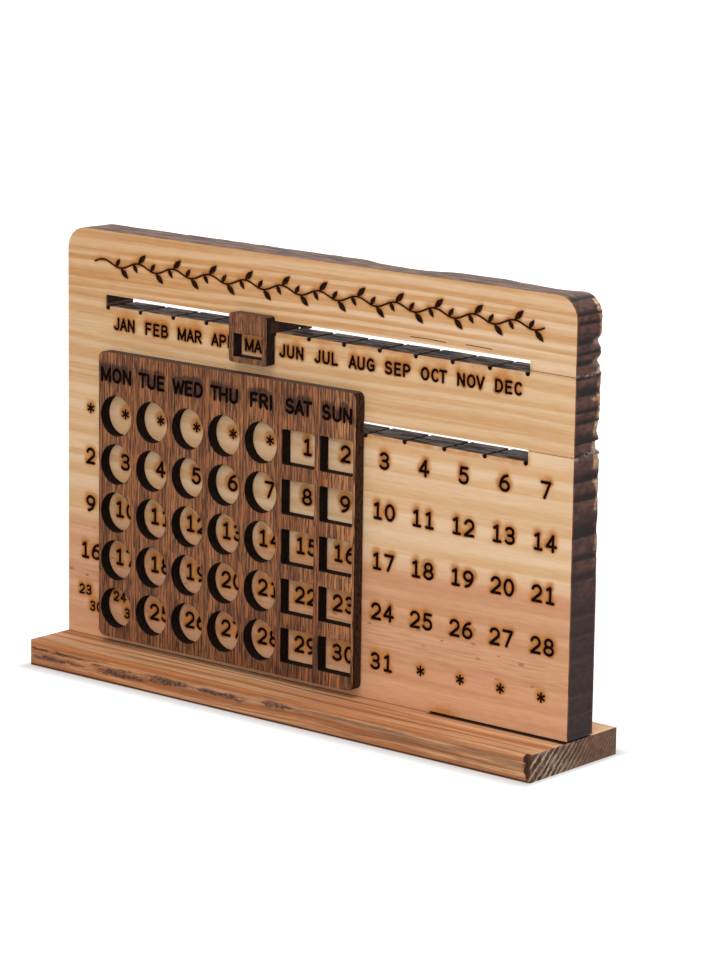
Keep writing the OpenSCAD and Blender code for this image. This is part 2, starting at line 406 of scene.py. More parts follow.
# Glyphs one unit high: a straight stroke is x, y, x, y, and an arc is its centre, its two radii and its
# first and last angle
GLYPHS = {
    "0": oval(.34, .5, .34, .5),
    "1": [(.12, .86, .36, 1), (.36, 1, .36, 0), (.1, 0, .62, 0)],
    "2": [(.33, .69, .33, .31, 165, -38), (.59, .5, 0, 0), (0, 0, .67, 0)],
    "3": [(.31, .75, .3, .25, 150, -90), (.31, .26, .34, .26, 90, -150), (.2, .51, .34, .51)],
    "4": [(.48, 1, 0, .3), (0, .3, .7, .3), (.48, 1, .48, 0)],
    "5": [(.6, 1, .12, 1), (.12, 1, .08, .56), (.3, .32, .35, .32, 130, -150)],
    "6": [*oval(.34, .3, .34, .3), (.6, .3, .6, .7, 180, 95)],
    "7": [(0, 1, .66, 1), (.66, 1, .24, 0)],
    "8": oval(.34, .75, .28, .25) + oval(.34, .26, .34, .26),
    "9": [*oval(.34, .7, .34, .3), (.08, .7, .6, .7, 0, -85)],
    "*": [(.34, .22, .34, .78), (.1, .36, .58, .64), (.1, .64, .58, .36)],
    "A": [(0, 0, .34, 1), (.34, 1, .68, 0), (.12, .33, .56, .33)],
    "B": [(0, 0, 0, 1), (0, 1, .3, 1), (0, .53, .32, .53), (0, 0, .32, 0),
          (.3, .765, .26, .235, 90, -90), (.32, .265, .3, .265, 90, -90)],
    "C": [(.34, .5, .34, .5, 48, 312)],
    "D": [(0, 0, 0, 1), (0, 1, .24, 1), (0, 0, .24, 0), (.24, .5, .4, .5, 90, -90)],
    "E": [(0, 0, 0, 1), (0, 1, .54, 1), (0, .52, .46, .52), (0, 0, .54, 0)],
    "F": [(0, 0, 0, 1), (0, 1, .54, 1), (0, .5, .46, .5)],
    "G": [(.34, .5, .34, .5, 48, 315), (.66, .12, .66, .46), (.38, .46, .66, .46)],
    "H": [(0, 0, 0, 1), (.62, 0, .62, 1), (0, .52, .62, .52)],
    "I": [(0, 0, 0, 1)],
    "J": [(.46, 1, .46, .26), (.23, .26, .23, .26, 0, -160)],
    "L": [(0, 1, 0, 0), (0, 0, .5, 0)],
    "M": [(0, 0, 0, 1), (0, 1, .39, .1), (.39, .1, .78, 1), (.78, 1, .78, 0)],
    "N": [(0, 0, 0, 1), (0, 1, .62, 0), (.62, 0, .62, 1)],
    "O": oval(.35, .5, .35, .5),
    "P": [(0, 0, 0, 1), (0, 1, .3, 1), (0, .46, .3, .46), (.3, .73, .28, .27, 90, -90)],
    "R": [(0, 0, 0, 1), (0, 1, .3, 1), (0, .48, .3, .48), (.3, .74, .28, .26, 90, -90), (.3, .48, .62, 0)],
    "S": [(.31, .75, .28, .25, 30, 270), (.31, .255, .31, .255, 90, -150)],
    "T": [(0, 1, .64, 1), (.32, 1, .32, 0)],
    "U": [(0, 1, 0, .3), (.31, .3, .31, .3, 180, 360), (.62, .3, .62, 1)],
    "V": [(0, 1, .34, 0), (.34, 0, .68, 1)],
    "W": [(0, 1, .25, 0), (.25, 0, .5, .86), (.5, .86, .75, 0), (.75, 0, 1, 1)],
    "Y": [(0, 1, .33, .46), (.66, 1, .33, .46), (.33, .46, .33, 0)],
}
DIGIT_CELL = 0.68
SLANTED = "ATVWY"


def ribbon(path, width):
    """Outline of a stroke of even width along a path: its right side, a round end, its left side and a
    round start, anticlockwise."""
    along = np.gradient(path, axis=0)
    along /= np.linalg.norm(along, axis=1, keepdims=True)
    aside = np.stack([-along[:, 1], along[:, 0]], axis=1) * width / 2
    heading = np.degrees(np.arctan2(along[:, 1], along[:, 0]))
    tip = along_arc(path[-1], width / 2, heading[-1] - 90, heading[-1] + 90)[1:-1:3]
    tail = along_arc(path[0], width / 2, heading[0] + 90, heading[0] + 270)[1:-1:3]
    return np.concatenate([path - aside, tip, (path + aside)[::-1], tail])


def lettering(text, centre, height, stroke, cell=None, gap=0, stretch=1):
    """Stroke outlines of a short text about its centre. A cell sets every glyph at one even spacing;
    without it each glyph takes its own width and the gap follows, a third less for each slanted letter."""
    tall = height - stroke
    drawn = []
    cursor = 0
    for letter, after in zip(text, text[1:] + " "):
        paths = [along_arc(mark[:2], mark[2:4], *mark[4:]) if len(mark) == 6 else np.reshape(mark, (2, 2))
                 for mark in GLYPHS[letter]]
        width = DIGIT_CELL if cell else np.concatenate(paths)[:, 0].max()
        size = np.array([tall * stretch, tall])
        drawn += [path * size + (cursor, 0) for path in paths]
        slanted = (letter in SLANTED) + (after in SLANTED)
        cursor += cell or width * tall * stretch + (gap * (1 - slanted / 3) if after != " " else 0)
    total = cursor - (cell - DIGIT_CELL * tall * stretch if cell else 0)
    return [ribbon(path + centre - (total / 2, tall / 2), stroke) for path in drawn]


def leaf(root, angle, length, width):
    """Lens-shaped leaf: its half width is the sine of the way from root to tip."""
    share = np.linspace(0, 1, 9)
    along = np.array([math.cos(angle), math.sin(angle)])
    aside = np.array([-along[1], along[0]])
    spine = root + share[:, None] * along * length
    half = (np.sin(np.pi * share) * width / 2)[:, None] * aside
    return np.concatenate([spine - half, (spine + half)[-2:0:-1]])


digit_h, digit_stroke, digit_cell, star_stroke = 7.9, 1.35, 6.9, 0.95
small_h, small_stroke, small_cell, small_aside = 4.9, 0.95, 4.3, np.array([3.4, -3.6])
month_h, month_stroke, month_gap, month_stretch = 6.0, 1.2, 2.1, 1.06
first_row, row_pitch = base_top + 107.1, 22.4
month_name_z = base_top + 148.2
month_names = "JAN FEB MAR APR MAY JUN JUL AUG SEP OCT NOV DEC".split()
board_rows = [["*"] * 6 + [str(day) for day in range(1, 8)]]
board_rows += [[str(day) for day in range(first, first + columns)] for first in (2, 9, 16)]
board_rows += [["23 30", "24 31"] + [str(day) for day in range(25, 32)] + ["*"] * 4]

dates = []
for row, texts in enumerate(board_rows):
    for x, text in zip(centred(columns, date_pitch), texts):
        middle = np.array([x, first_row - row * row_pitch])
        if " " in text:
            for part, side in zip(text.split(), (-1, 1)):
                dates += lettering(part, middle + side * small_aside, small_h, small_stroke, small_cell)
        else:
            stroke = star_stroke if text == "*" else digit_stroke
            dates += lettering(text, middle, digit_h, stroke, digit_cell)

month_row = []
for x, text in zip(centred(months, month_pitch), month_names):
    month_row += lettering(text, (x, month_name_z), month_h, month_stroke,
                           gap=month_gap, stretch=month_stretch)

# The heading band holds a running vine: a sine stem with a pair of leaves at every crest and trough
vine_z, vine_half, vine_wave, vine_swing = base_top + 175.6, 128, 21.4, 1.5
stem_w, split_w, leaf_gap = 0.8, 0.35, 3.2
large_leaf, small_leaf = (6.6, 2.7), (5.2, 2.2)
stem_x = np.linspace(-vine_half, vine_half, 361)
stem = np.stack([stem_x, vine_z + vine_swing * np.sin(stem_x * 2 * np.pi / vine_wave)], axis=1)
vine = [ribbon(stem, stem_w)]
for turn in range(-11, 12):
    root_x = turn * vine_wave / 2 + vine_wave / 4
    side = 1 if turn % 2 else -1
    root = np.array([root_x, vine_z - side * vine_swing])
    vine.append(leaf(root, side * -0.75, *large_leaf))
    vine.append(leaf(root - (leaf_gap, 0), side * 0.95, *small_leaf))

# Two hairline splits in the wood just over the month slot
split_z = month_floor + slot_h + 2.3
splits = [ribbon(np.array([(57, split_z), (66, split_z + 0.1), (76, split_z - 0.2)]), split_w),
          ribbon(np.array([(87, split_z + 0.2), (94, split_z + 0.1), (101, split_z - 0.1)]), split_w)]


def soot_map(outlines, low, high, spread, lift):
    """Scorching by smoke: length of cut edge in each half-millimetre cell, blurred and lifted.

    The blur multiplies the map's Fourier transform by that of a round bell curve of the given spread.
    Returns a function that reads the map at any points.
    """
    cell, step, margin = 0.5, 0.4, 10
    origin = np.asarray(low) - margin
    shape = np.ceil((np.asarray(high) + margin - origin) / cell).astype(int)
    edges = np.concatenate([resample(outline, step)[0] for outline in outlines]) + (0, lift)
    limits = np.stack([origin, origin + shape * cell], axis=1)
    count = np.histogram2d(edges[:, 0], edges[:, 1], shape, limits)[0]
    wave_x = np.fft.fftfreq(shape[0], cell)[:, None]
    wave_z = np.fft.rfftfreq(shape[1], cell)
    bell = np.exp(-2 * (np.pi * spread) ** 2 * (wave_x ** 2 + wave_z ** 2))
    smoke = np.fft.irfft2(np.fft.rfft2(count) * bell, s=shape) * step / cell ** 2

    def read(points):
        spot = np.clip((points - origin) / cell - 0.5, 0, shape - 2)
        x, z = spot.astype(int).T
        right, up = (spot % 1).T
        below = smoke[x, z] * (1 - right) + smoke[x + 1, z] * right
        above = smoke[x, z + 1] * (1 - right) + smoke[x + 1, z + 1] * right
        return below * (1 - up) + above * up

    return read


def fill_sheet(border, holes, cuts, loose):
    """Flat triangles inside a border and outside its holes, with the outline of every cut as edges.

    A constrained Delaunay filling of all the outlines and the loose points also says which outlines hold
    each triangle. Border and cuts run anticlockwise, holes clockwise. Gives the points, the triangles, a
    flag for those in a cut, and the numbers of the border's and the holes' points.
    """
    outlines = [border, *holes, *cuts]
    starts = np.cumsum([0, *map(len, outlines)])
    faces = [list(range(first, last)) for first, last in zip(starts[:-1], starts[1:])]
    faces[1:1 + len(holes)] = [face[::-1] for face in faces[1:1 + len(holes)]]
    given = np.concatenate([*outlines, loose])
    same_point = 1e-6
    filled = delaunay_2d_cdt(given.tolist(), [], faces, 0, same_point, True)
    points, _, triangles, from_points, _, from_faces = filled
    owner = np.repeat(np.arange(len(triangles)), [len(held) for held in from_faces])
    held = np.array([face for faces_held in from_faces for face in faces_held])
    in_border = np.bincount(owner[held == 0], minlength=len(triangles)) > 0
    in_hole = np.bincount(owner[(held > 0) & (held <= len(holes))], minlength=len(triangles)) > 0
    in_cut = np.bincount(owner[held > len(holes)], minlength=len(triangles)) > 0
    number = np.zeros(len(given), int)
    number[[point for points_merged in from_points for point in points_merged]] = np.repeat(
        np.arange(len(points)), [len(points_merged) for points_merged in from_points])
    kept = in_border & ~in_hole
    ring_numbers = [number[first:last] for first, last in zip(starts[:-1], starts[1:])][:1 + len(holes)]
    return np.array(points), np.array(triangles)[kept], in_cut[kept], ring_numbers


def carve(points, triangles, in_cut, level, floor):
    """Lower the triangles in a cut from level to floor, and wall each cut's edge.

    A wall stands on every edge that has a plain triangle on one side and a cut one on the other.
    Gives points with their depth, the plain triangles, and the cut's floor and walls.
    """
    total = len(points)
    plain, sunk = triangles[~in_cut], triangles[in_cut]
    plain_edges = np.concatenate([plain[:, [0, 1]], plain[:, [1, 2]], plain[:, [2, 0]]])
    sunk_edges = np.concatenate([sunk[:, [1, 0]], sunk[:, [2, 1]], sunk[:, [0, 2]]])
    shared = np.isin(plain_edges @ (total, 1), sunk_edges @ (total, 1))
    first, second = plain_edges[shared].T
    walls = np.concatenate([np.stack([second, first, first + total], axis=1),
                            np.stack([second, first + total, second + total], axis=1)])
    depths = np.repeat([level, floor], total)
    return np.column_stack([np.tile(points, (2, 1)), depths]), plain, np.concatenate([sunk + total, walls])


def add_object(name, data):
    """Put a mesh, a lamp or a camera into the scene."""
    added = bpy.data.objects.new(name, data)
    bpy.context.scene.collection.objects.link(added)
    return added


def board(name, rings, shifts, depths, front_y, engraved, pockets, pocket_d, loose, loose_back):
    """Mesh of a flat board: a front and a back filled sheet, joined round every ring by a wall.

    The wall is a grid: ring points one way, depths the other, each moved into the wood by its shift.
    Gives the object, the points' depth and the wall points' shifts, for the finishes to read.
    """
    outward = [np.roll(ring, -1, axis=0) - np.roll(ring, 1, axis=0) for ring in rings]
    outward = [np.stack([run[:, 1], -run[:, 0]], axis=1) / np.linalg.norm(run, axis=1, keepdims=True)
               for run in outward]
    walls = [ring - shift[:, :, None] * away for ring, shift, away in zip(rings, shifts, outward)]
    front = fill_sheet(walls[0][0], [wall[0] for wall in walls[1:]], engraved, loose)
    back = fill_sheet(walls[0][-1], [wall[-1] for wall in walls[1:]], pockets, loose_back)
    thickness = depths[-1]
    front_points, front_plain, front_cut = carve(*front[:3], 0, engraving_d)
    back_points, back_plain, back_cut = carve(*back[:3], thickness, thickness - pocket_d)
    points = [front_points, back_points]
    total = len(front_points)
    faces = [front_plain, front_cut, (back_plain + total)[:, ::-1], (back_cut + total)[:, ::-1]]
    total += len(back_points)
    push = [np.zeros(total)]
    for wall, shift, front_ring, back_ring in zip(walls, shifts, front[3], back[3]):
        between = wall[1:-1].reshape(-1, 2)
        inner = total + np.arange(len(between)).reshape(-1, len(front_ring))
        grid = np.concatenate([front_ring[None], inner, back_ring[None] + len(front_points)])
        push[0][grid[-1]] = shift[-1]
        push.append(shift[1:-1].ravel())
        points.append(np.column_stack([between, np.repeat(depths[1:-1], len(front_ring))]))
        total += len(between)
        near, far = grid[:-1], grid[1:]
        near_next, far_next = np.roll(near, -1, axis=1), np.roll(far, -1, axis=1)
        faces.append(np.stack([near_next, near, far], axis=-1).reshape(-1, 3))
        faces.append(np.stack([near_next, far, far_next], axis=-1).reshape(-1, 3))
    kinds = np.repeat([0, 2, 0, 2] + [1] * (len(faces) - 4), [len(group) for group in faces])
    points, faces, push = np.concatenate(points), np.concatenate(faces), np.concatenate(push)
    used, faces = np.unique(faces, return_inverse=True)
    points, push = points[used], push[used]
    mesh = bpy.data.meshes.new(name)
    placed = np.column_stack([points[:, 0], front_y + points[:, 2], points[:, 1]]) * MM
    mesh.from_pydata(placed.tolist(), [], faces.reshape(-1, 3).tolist())
    mesh.polygons.foreach_set("material_index", kinds)
    mesh.shade_smooth()
    mesh.set_sharp_from_angle(angle=crease)
    return add_object(name, mesh), points, push


def carry(piece, name, values):
    """Store one value on each point of a mesh, for a finish to read."""
    piece.data.attributes.new(name, "FLOAT", "POINT").data.foreach_set("value", values.astype(np.float32))


def triangle_grid(low, high, step):
    """Points of a triangular grid inside a rectangle, off its edges, alternate rows moved by half a step."""
    inset = 0.31 * step
    rows = np.arange(low[1] + inset, high[1], step * math.sqrt(3) / 2)
    across = np.arange(low[0] + inset, high[0] - step, step)
    x = across[None] + (np.arange(len(rows)) % 2)[:, None] * step / 2
    return np.column_stack([x.ravel(), np.repeat(rows, len(across))])


def broken_edge(ring, kinds, depths, grain, seed):
    """How far a charred wall has lost wood at each depth, in millimetres.

    On the ends every dark ring is a shallow groove, a few soft rings are bitten out near the back, and the
    back corner is worn round, but not at the glue lines. Along the grain, at the top and in the slots,
    longer splinters are gone. A glue line opens by a hair in front, more to the right.
    """
    x, z = ring.T
    into = depths[:, None] / depths[-1]
    late = late_share(ring_count(x, z, grain, np.sin))
    rough = eased(z, base_top + 55, base_top + 100)
    bite = eased(uneven(z, 15, seed + 4), 0.72, 0.9) * (1 - late) * rough
    gone = sum(deep * np.exp(-((z - height) / 2.1) ** 2) for height, deep in break_outs) * (x > 0)
    worn = (0.15 + 0.85 * rough) * (0.3 + 0.5 * uneven(z, 6, seed + 6))
    end = 0.35 * late * rough * eased(into, 0, 0.3) + worn * eased(into, 0.88, 1.1)
    end = end + 2.0 * bite * eased(into, 0.6, 0.92) + gone * eased(into, 0.55, 0.95)
    seam_gap = np.min([np.abs(z - seam_at(line, x)) for line in (lower_seam, upper_seam)], axis=0)
    end = end * eased(seam_gap, 0, 1.7)
    long = eased(uneven(x, 40, seed + 1), 0.3, 0.8) + 0.2 * uneven(x, 6, seed + 2)
    top = 1.1 * long * eased(into, 0.25, 1.0)
    slot = 0.15 * eased(uneven(x, 13, seed + 3), 0.2, 0.9) * eased(into, 0.3, 1.0)
    seam = (0.06 + 0.05 * x / half_w) * (1 - eased(into, 0, 0.06))
    by_kind = {"end": end, "top": top, "slot": slot, "seam": seam}
    shift = np.zeros((len(depths), len(x)))
    for kind, lost in by_kind.items():
        shift = np.where(kinds == kind, lost, shift)
    return shift


def pine_rings(finish, grain):
    """The shader's place within a ring, from the same count as the broken edges, with a fine waver."""
    waver = finish.cloud((45, 30, 9), grain["start"]) * 1.6 + finish.cloud((14, 9, 3), 4) * 0.5
    count = ring_count(finish.x, finish.z + waver - 1.05, grain, lambda field: field.math("SINE"))
    return count.math("FRACT")


def pine_face(name, grain):
    """Planed pine: pale early and orange late wood, fine fibres, dark flecks, and scorch from the laser.
    Behind the date plate its smoky haze is laid on thicker as painted warm shade.
    """
    finish = Finish(name)
    x, z, cloud = finish.x, finish.z, finish.cloud
    ring = pine_rings(finish, grain)
    patchy = cloud((160, 60, 7), grain["start"] + 9).rise(0.2, 0.5)
    late = ring.rise(0.22, 0.6) * ring.rise(1.0, 0.86) * patchy
    late = late * grain["rings"] + finish.bands(z, 260, 2.6, grain["start"], 3).rise(0.45, 0.65) * 0.35
    fibre = cloud((26, 0.9, 0.5), 13, 4)
    streak = cloud((45, 3, 0.9), 33, 4)
    wood = finish.mix(late, grain["early"], grain["late"])
    wood = wood.mix(streak.rise(0.5, 0.7) * 0.22, grain["late"])
    wood = wood.mix(streak.rise(0.5, 0.3) * 0.22, (0.82, 0.60, 0.40))
    wood = wood.tint(x.rise(100, -70) * grain["tan"], (0.88, 0.72, 0.52))
    if "heart" in grain:
        edge = z + cloud((90, 50, 8), 3) * 14 - x * 0.03
        heart = edge.rise(grain["heart_top"] + 6, grain["heart_top"] - 6)
        line = finish.bands(z + cloud((40, 30, 6), 9) * 3, 110, 1.1, 57, 3).rise(0.5, 0.66)
        core = finish.mix(late * 0.6, grain["heart"], grain["heart_late"])
        core = core.mix(line * 0.35, grain["heart_late"])
        above_base = z - base_top + cloud((60, 40, 10), 19) * 12 + x * 0.02
        belt = above_base.rise(26, 32) * above_base.rise(48, 40)
        dashes = belt * finish.bands(z, 24, 0.9, 83, 3).rise(0.47, 0.64)
        core = core.mix(dashes * 0.45, (0.40, 0.165, 0.09))
        fleck = finish.dots(15, 6, 0.16, 0.45) * above_base.rise(22, 30) * above_base.rise(58, 48)
        core = core.mix(fleck * 0.7, (0.22, 0.075, 0.04))
        wood = wood.mix(heart, core)
    wood = wood.mix(fibre.rise(0.45, 0.75) * 0.22, grain["late"])
    short = cloud((7, 3, 1.1), 91, 5)
    wood = wood.tint(short.rise(0.5, 0.64) * 0.25, (0.88, 0.80, 0.72))
    wood = wood.mix(short.rise(0.48, 0.36) * 0.05, (0.85, 0.65, 0.45))
    haze = finish.attribute("haze") * (cloud((5, 5, 3), 7, 3) * 1.8 + 0.1)
    beside_dates = z.rise(date_floor + 8, date_floor - 2)
    # The haze is thicker along the dates; behind the date plate it is thicker still as painted warm shade,
    # the shade inside the plate's windows.
    shade_behind_plate = x.rise(55, 20) * x.rise(-122, -112)
    haze = haze * ((shade_behind_plate * 0.6 + 0.4) * beside_dates + 1.0)
    wood = wood.mix(haze.rise(0.0, 1.1) * 0.9, (0.49, 0.19, 0.045))
    toast = finish.attribute("scorch") * (cloud((2, 2, 1.5), 17, 3) + 0.5)
    wood = wood.mix(toast.rise(0.3, 1.1) * 0.6, (0.22, 0.075, 0.018))
    return finish.dress(wood, fibre * 0.2 + 0.48, fibre - late * 0.4, 0.07)


def charred_edge(name, grain):
    """Laser-cut pine edge: brown early and black late wood, pale wood where it split, and on top and in
    the slots a paler grey ashen char streaked with painted sheen.
    """
    finish = Finish(name, 0.06)
    cloud = finish.cloud
    ring = pine_rings(finish, grain)
    late = ring.rise(0.35, 0.8) * ring.rise(1.0, 0.93)
    streak = cloud((9, 4, 1.2), 17, 3)
    smudge = cloud((6, 5, 4), 29, 3)
    rough = finish.z.rise(base_top + 45, base_top + 92)
    lines = cloud((14, 3.2, 40), 53, 4)
    from_front, from_back = finish.y - panel_front, finish.y * -1 + panel_back
    brown = finish.mix(smudge.rise(0.35, 0.65), (0.155, 0.075, 0.057), (0.08, 0.045, 0.039))
    char = finish.mix(late, brown, (0.026, 0.019, 0.019))
    narrow = ring.rise(0.75, 0.9) * ring.rise(1.0, 0.95)
    smooth = finish.mix(narrow, (0.048, 0.034, 0.034), (0.085, 0.046, 0.042))
    char = finish.mix(rough * 0.85 + 0.15, smooth, char)
    char = char.mix(streak.rise(0.45, 0.7) * 0.35, (0.030, 0.022, 0.021))
    # Paler grey on top and in the slots: ashen char, with its pale streaks as painted sheen.
    ash_and_sheen = finish.mix(lines.rise(0.42, 0.58), (0.33, 0.245, 0.205), (0.06, 0.042, 0.036))
    # Browner near the panel's top: painted sheen from the light above.
    painted_top_sheen = finish.mix(lines.rise(0.4, 0.6), (0.26, 0.17, 0.135), (0.12, 0.08, 0.066))
    ash_and_sheen = ash_and_sheen.mix(finish.z.rise(panel_top - 4, panel_top - 2), painted_top_sheen)
    char = char.mix(finish.attribute("ash_and_sheen"), ash_and_sheen)
    edges = from_front.rise(1.3, 0.2) + from_back.rise(1.8, 0.2)
    char = char.mix(edges * cloud((14, 14, 7), 23).rise(0.3, 0.6) * 0.7, (0.16, 0.055, 0.03))
    rim = from_front.rise(1.0, 0.1) * cloud((14, 14, 9), 43).rise(0.36, 0.56)
    char = char.mix(rim * 0.75, (0.42, 0.155, 0.05))
    bare = finish.mix(streak.rise(0.35, 0.65), (0.70, 0.48, 0.32), (0.45, 0.22, 0.10))
    char = char.mix(finish.attribute("bare") * cloud((3, 3, 2), 37).rise(0.28, 0.45), bare)
    crumbs = finish.attribute("glue") * cloud((2, 1.6, 1.0), 47, 3).rise(0.42, 0.58)
    char = char.mix(crumbs * 0.8, (0.42, 0.36, 0.32))
    char = char.mix(finish.attribute("pit"), (0.008, 0.006, 0.006))
    return finish.dress(char, streak * 0.3 + 0.5, streak - late * 0.7, 0.35)


def burned_wood(name, black, brown):
    """Bottom of the engraved strokes: black char with brown grit."""
    finish = Finish(name, 0.0)
    grit = finish.cloud((1.2, 1.2, 0.8), 3, 3)
    return finish.dress(finish.mix(grit.rise(0.35, 0.75), black, brown), grit * 0.3 + 0.6, grit, 0.15)


staves = {
    "lower_stave": (lower_outline, dates, {
        "width": 11.5, "wave": 62, "start": 0.6, "sway": 2.4, "slope": 0.012, "rings": 0.9, "tan": 0.2,
        "early": (0.745, 0.53, 0.335), "late": (0.645, 0.385, 0.195),
        "heart": (0.64, 0.345, 0.195), "heart_late": (0.51, 0.235, 0.12), "heart_top": base_top + 68}),
    "middle_stave": (middle_outline, month_row, {
        "width": 6.4, "wave": 48, "start": 2.1, "sway": 1.3, "slope": 0.010, "rings": 0.8, "tan": 0.2,
        "early": (0.69, 0.47, 0.277), "late": (0.60, 0.34, 0.155)}),
    "upper_stave": (upper_outline, vine + splits, {
        "width": 5.7, "wave": 55, "start": 4.0, "sway": 1.2, "slope": -0.006, "rings": 0.9, "tan": 0.6,
        "early": (0.74, 0.52, 0.335), "late": (0.575, 0.31, 0.13)}),
}
burned = burned_wood("burned_wood", (0.004, 0.002, 0.0015), (0.022, 0.008, 0.004))
lightly_burned = burned_wood("lightly_burned_wood", (0.010, 0.005, 0.003), (0.045, 0.018, 0.008))
low_corner, high_corner = np.array([-half_w, tenon_low]), np.array([half_w, panel_top])
outlines = [np.array([corner[:2] for corner in outline]) for outline, _, _ in staves.values()]
wall_depths = panel_t * np.array([0, 0.05, 0.12, 0.22, 0.34, 0.46, 0.58, 0.66, 0.74, 0.81, 0.87, 0.93, 1.0])
burned_strokes = dates + month_row + vine
smoke_low = soot_map(burned_strokes, low_corner, high_corner, 0.45, 0.1)
smoke_high = soot_map(burned_strokes, low_corner, high_corner, 1.5, 0.8)
slot_edges = [np.array([(x, floor), (end, roof)]) for floor in (date_floor, month_floor)
              for x, end, roof in ((-slot_half, slot_half, floor), (-slot_half, -slot_half, floor + slot_h),
                                   (slot_half, slot_half, floor + slot_h))]
slot_smoke = soot_map(slot_edges, low_corner, high_corner, 1.3, -0.6)
singe = soot_map(outlines, low_corner, high_corner, 0.7, 0)
coarse_step, fine_step, least_soot = 5.0, 0.9, 0.06
coarse_grid = triangle_grid(low_corner, high_corner, coarse_step)
fine_grid = triangle_grid(low_corner, high_corner, fine_step)
sooty = sum(soot(fine_grid) for soot in (smoke_low, smoke_high, slot_smoke, singe)) > least_soot
front_grid = np.concatenate([fine_grid[sooty], coarse_grid])
back_grid = np.concatenate([fine_grid[singe(fine_grid) > least_soot], coarse_grid])

for seed, (node, (outline, strokes, grain)) in enumerate(staves.items()):
    corners = np.array([corner[:2] for corner in outline])
    ring, side = resample(corners, edge_step)
    kinds = np.array([corner[2] for corner in outline])[side]
    box_low, box_high = corners.min(axis=0), corners.max(axis=0)
    front_mine, back_mine = (grid[np.all((grid > box_low) & (grid < box_high), axis=1)]
                             for grid in (front_grid, back_grid))
    shift = broken_edge(ring, kinds, wall_depths, grain, 10 * seed + 3)
    stave, points, push = board(node + "_cut", [ring], [shift], wall_depths, panel_front,
                                strokes, [], 0, front_mine, back_mine)
    flat, depth = points[:, :2], points[:, 2]
    x, z = flat.T
    on_front = depth < front_depth
    in_slot = np.abs(x) < slot_half + 0.1
    singed = np.where(on_front, 0.5, 0.9) * singe(flat)
    carry(stave, "scorch", np.where(on_front, smoke_low(flat), 0) + singed)
    beside = (flat - (tenon_half + stain_half[0], base_top)) / stain_half
    smoke = smoke_high(flat) + 0.9 * slot_smoke(flat) + 1.3 * np.exp(-np.sum(beside ** 2, axis=1))
    carry(stave, "haze", np.where(on_front, smoke, 0))
    on_end = np.abs(x) > half_w - 4
    share = depth / panel_t
    soft = 1 - late_share(ring_count(x, z, grain, np.sin))
    torn = eased(uneven(z, 6, seed + 7), 0.2, 0.5) * eased(z, base_top + 70, base_top + 100)
    wedge = eased(3.6 * (share - 0.5) - np.abs(z - wedge_z), 0, 0.5) * (x > 0)
    reach = 0.92 - 0.3 * uneven(z, 9, seed + 9)
    bare = np.maximum(torn * soft * eased(share, reach, reach + 0.06), 0.5 * eased(push, 0.6, 1.1))
    carry(stave, "bare", np.maximum(bare, wedge) * on_end)
    seam_gap = np.min([np.abs(z - seam_at(seam, x)) / spread
                       for seam, spread in ((lower_seam, 2.2), (upper_seam, 1.1))], axis=0)
    carry(stave, "glue", eased(seam_gap, 1, 0.25) * on_end * eased(uneven(depth, 4, seed + 5), 0.2, 0.5))
    uncut = z + push
    on_floor = np.abs(x) < slot_half - 0.4
    # Where the paler grey and its painted sheen go: the panel's top and the slots.
    carry(stave, "ash_and_sheen", 0.9 * np.maximum(eased(uncut, panel_top - 1.6, panel_top - 0.3), on_floor))
    below = [(uncut < floor - 0.2) & (uncut > floor - notch_d - 0.1) for floor in (date_floor, month_floor)]
    carry(stave, "pit", in_slot & (below[0] | below[1]))
    burn = lightly_burned if node == "upper_stave" else burned
    for finish in (pine_face(node + "_face", grain), charred_edge(node + "_edge", grain), burn):
        stave.data.materials.append(finish)
    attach(stave, "stand")
    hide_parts(node)


# Date plate.
# A thin walnut board with a window for every day of a month, cut by laser, with the weekdays burned in
# above the columns. Two hooks are glued into pockets in its back.

plate_low, plate_high = box_mm("date_plate")
plate_front, plate_t = plate_low[1], plate_high[1] - plate_low[1]
plate_x = (plate_low[0] + plate_high[0]) / 2
plate_corner = 3
window_w, window_h, window_r = 18.8, 15.8, 0.8
weekdays = "MON TUE WED THU FRI SAT SUN".split()
round_days, weeks = 5, 5
weekday_z = base_top + 125.7
name_h, name_stroke, name_gap, name_stretch = 7.2, 1.5, 2.2, 1.08
pocket_d, pocket_h, glue_gap = 2.4, 4.2, 0.1
least_plate_soot = 0.04


def rounded(low, high, radius):
    """Rectangle with round corners, anticlockwise from its lower right corner."""
    inner_low, inner_high = np.asarray(low) + radius, np.asarray(high) - radius
    turns = [(inner_high[0], inner_low[1], -90), (*inner_high, 0), (inner_low[0], inner_high[1], 90),
             (*inner_low, 180)]
    return np.concatenate([along_arc((x, z), radius, first, first + 90) for x, z, first in turns])


def walnut_face(name):
    """Walnut with upright grain: slow changes of tone, fine fibres and short dark pores, and soot."""
    finish = Finish(name, 0.06)
    cloud = finish.cloud
    tone = cloud((9, 9, 120), 3)
    fibre = cloud((0.8, 0.8, 24), 9, 4)
    pore = cloud((0.45, 0.45, 7), 19, 1).rise(0.51, 0.6)
    wood = finish.mix(tone.rise(0.3, 0.7), (0.30, 0.11, 0.045), (0.40, 0.158, 0.066))
    wood = wood.mix(finish.x.rise(plate_high[0] - 24, plate_high[0] - 4) * 0.8, (0.54, 0.225, 0.095))
    wood = wood.mix(fibre.rise(0.43, 0.6) * 0.75, (0.11, 0.048, 0.026))
    wood = wood.mix(pore * 0.8, (0.034, 0.023, 0.022))
    wood = wood.tint(finish.z.rise(base_top + 50, base_top + 5), (0.74, 0.74, 0.74))
    soot = finish.attribute("scorch") * (cloud((3, 3, 5), 29, 3) + 0.5)
    wood = wood.mix(soot.rise(0.1, 0.9) * 0.75, (0.018, 0.013, 0.014))
    return finish.dress(wood, fibre * 0.2 + 0.5, fibre - pore, 0.09)


